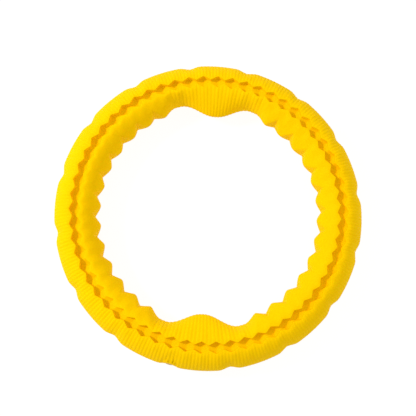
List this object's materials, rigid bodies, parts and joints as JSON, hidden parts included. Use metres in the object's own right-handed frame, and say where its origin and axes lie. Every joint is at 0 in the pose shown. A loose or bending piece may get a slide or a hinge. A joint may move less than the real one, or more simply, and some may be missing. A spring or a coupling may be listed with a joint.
{
  "type": "flying ring",
  "caption": "Soft hollow throwing ring with a scalloped rim, a toothed inner edge, two finger grips and a diamond groove round each face.",
  "frame": {"origin": "under the ring's centre, on the surface that the ring lies on", "axes": "+Z along the ring's axis towards the front face; the two finger grips lie on +Y and -Y"},
  "size_m": [0.23, 0.23, 0.03],
  "materials": {
    "soft_shell": "satin moulded thermoplastic rubber, bright yellow",
    "float_foam": "closed-cell polyethylene foam, matte cream",
    "plug_rubber": "tan rubber, matte"
  },
  "bodies": {
    "root": {"front_shell": "soft_shell", "rear_shell": "soft_shell", "right_core": "float_foam", "left_core": "float_foam", "top_grip_block": "float_foam", "bottom_grip_block": "float_foam", "vent_plug": "plug_rubber"}
  },
  "joints": []
}
